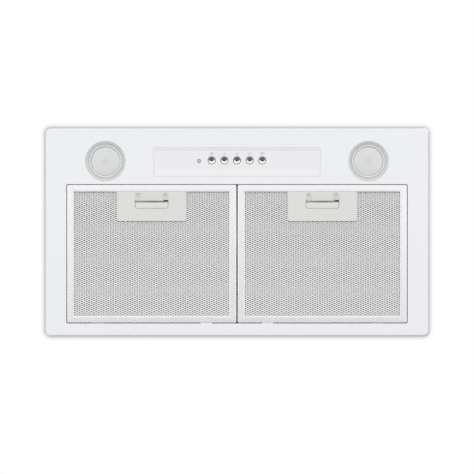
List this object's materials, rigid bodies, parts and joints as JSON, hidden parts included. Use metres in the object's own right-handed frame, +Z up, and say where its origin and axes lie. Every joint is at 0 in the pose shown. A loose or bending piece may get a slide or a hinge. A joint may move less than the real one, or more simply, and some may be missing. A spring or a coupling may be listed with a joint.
{
  "type": "range hood",
  "caption": "Built-in range hood: white face with two mesh grease filters, round lamps, push buttons, a galvanised air chamber with a blower and a round duct collar.",
  "frame": {"origin": "middle of the face's underside, the lowest plane of the part", "axes": "+Z up towards the duct, +X to the right seen from the front, -Y towards the cook and the controls"},
  "size_m": [0.492, 0.267, 0.205],
  "materials": {
    "white_enamel": "smooth gloss powder coat",
    "white_plastic": "satin moulded",
    "handle_plastic": "fine grain moulded, warm light grey",
    "chrome": "bright plated",
    "aluminium": "bright satin",
    "galvanised": "zinc spangle",
    "frosted_glass": "frosted",
    "black_plastic": "moulded",
    "grey_plastic": "moulded",
    "pilot_lens": "clear smoky",
    "cable_grey": "matt sheath"
  },
  "bodies": {
    "hood": {"bezel": "white_enamel", "control_fascia": "white_plastic", "indicator_lens": "pilot_lens", "switch_block": "black_plastic", "lamp_bezel_left": "white_plastic", "lamp_bezel_right": "white_plastic", "lamp_ring_left": "chrome", "lamp_ring_right": "chrome", "lamp_glass_left": "frosted_glass", "lamp_glass_right": "frosted_glass", "lamp_holder_left": "grey_plastic", "lamp_holder_right": "grey_plastic", "service_partition": "galvanised", "housing_front": "galvanised", "housing_rear": "galvanised", "housing_left": "galvanised", "housing_right": "galvanised", "housing_top": "galvanised", "fixing_bracket_left": "galvanised", "fixing_bracket_right": "galvanised", "scroll_left": "galvanised", "scroll_right": "galvanised", "inlet_ring_left": "galvanised", "inlet_ring_right": "galvanised", "motor_body": "aluminium", "motor_plate": "galvanised", "capacitor": "white_plastic", "terminal_box": "grey_plastic", "terminal_cover": "grey_plastic", "cable_gland": "black_plastic", "outlet_collar": "black_plastic", "damper_pin": "galvanised", "lamp_lead_left": "cable_grey", "lamp_lead_right": "cable_grey", "motor_lead": "cable_grey", "supply_lead": "cable_grey"},
    "stop_button": {"button_stop": "chrome"},
    "speed_1_button": {"button_speed_1": "chrome"},
    "speed_2_button": {"button_speed_2": "chrome"},
    "speed_3_button": {"button_speed_3": "chrome"},
    "lamp_button": {"button_lamp": "chrome"},
    "left_filter": {"filter_frame_left": "aluminium", "filter_face_left": "aluminium", "filter_core_left": "aluminium", "filter_back_left": "aluminium", "filter_handle_left": "handle_plastic"},
    "right_filter": {"filter_frame_right": "aluminium", "filter_face_right": "aluminium", "filter_core_right": "aluminium", "filter_back_right": "aluminium", "filter_handle_right": "handle_plastic"},
    "left_latch": {"filter_latch_left": "handle_plastic"},
    "right_latch": {"filter_latch_right": "handle_plastic"},
    "rotor": {"fan_shaft": "chrome", "impeller_left": "black_plastic", "impeller_right": "black_plastic"},
    "front_flap": {"damper_flap_front": "black_plastic"},
    "rear_flap": {"damper_flap_rear": "black_plastic"}
  },
  "joints": [
    {"name": "press_stop", "type": "slide", "parent": "hood", "child": "stop_button", "axis": [0, 0, 1], "range_m": [0, 0.0025], "stiffness_N_per_m": 300, "springref_m": -0.001},
    {"name": "press_speed_1", "type": "slide", "parent": "hood", "child": "speed_1_button", "axis": [0, 0, 1], "range_m": [0, 0.0025], "stiffness_N_per_m": 300, "springref_m": -0.001},
    {"name": "press_speed_2", "type": "slide", "parent": "hood", "child": "speed_2_button", "axis": [0, 0, 1], "range_m": [0, 0.0025], "stiffness_N_per_m": 300, "springref_m": -0.001},
    {"name": "press_speed_3", "type": "slide", "parent": "hood", "child": "speed_3_button", "axis": [0, 0, 1], "range_m": [0, 0.0025], "stiffness_N_per_m": 300, "springref_m": -0.001},
    {"name": "press_lamp", "type": "slide", "parent": "hood", "child": "lamp_button", "axis": [0, 0, 1], "range_m": [0, 0.0025], "stiffness_N_per_m": 300, "springref_m": -0.001},
    {"name": "swing_filter_left", "type": "hinge", "parent": "hood", "child": "left_filter", "pos_m": [-0.10938, 0.1172, 0.0013], "axis": [1, 0, 0], "range_deg": [0, 75]},
    {"name": "swing_filter_right", "type": "hinge", "parent": "hood", "child": "right_filter", "pos_m": [0.10938, 0.1172, 0.0013], "axis": [1, 0, 0], "range_deg": [0, 75]},
    {"name": "slide_latch_left", "type": "slide", "parent": "left_filter", "child": "left_latch", "axis": [0, 1, 0], "range_m": [0, 0.005], "stiffness_N_per_m": 250, "springref_m": -0.002},
    {"name": "slide_latch_right", "type": "slide", "parent": "right_filter", "child": "right_latch", "axis": [0, 1, 0], "range_m": [0, 0.005], "stiffness_N_per_m": 250, "springref_m": -0.002},
    {"name": "spin_fan", "type": "hinge", "parent": "hood", "child": "rotor", "pos_m": [0, 0.008, 0.088], "axis": [1, 0, 0], "continuous": true},
    {"name": "swing_flap_front", "type": "hinge", "parent": "hood", "child": "front_flap", "pos_m": [0, 0.047, 0.18], "axis": [-1, 0, 0], "range_deg": [0, 80]},
    {"name": "swing_flap_rear", "type": "hinge", "parent": "hood", "child": "rear_flap", "pos_m": [0, 0.047, 0.18], "axis": [1, 0, 0], "range_deg": [0, 80]}
  ]
}
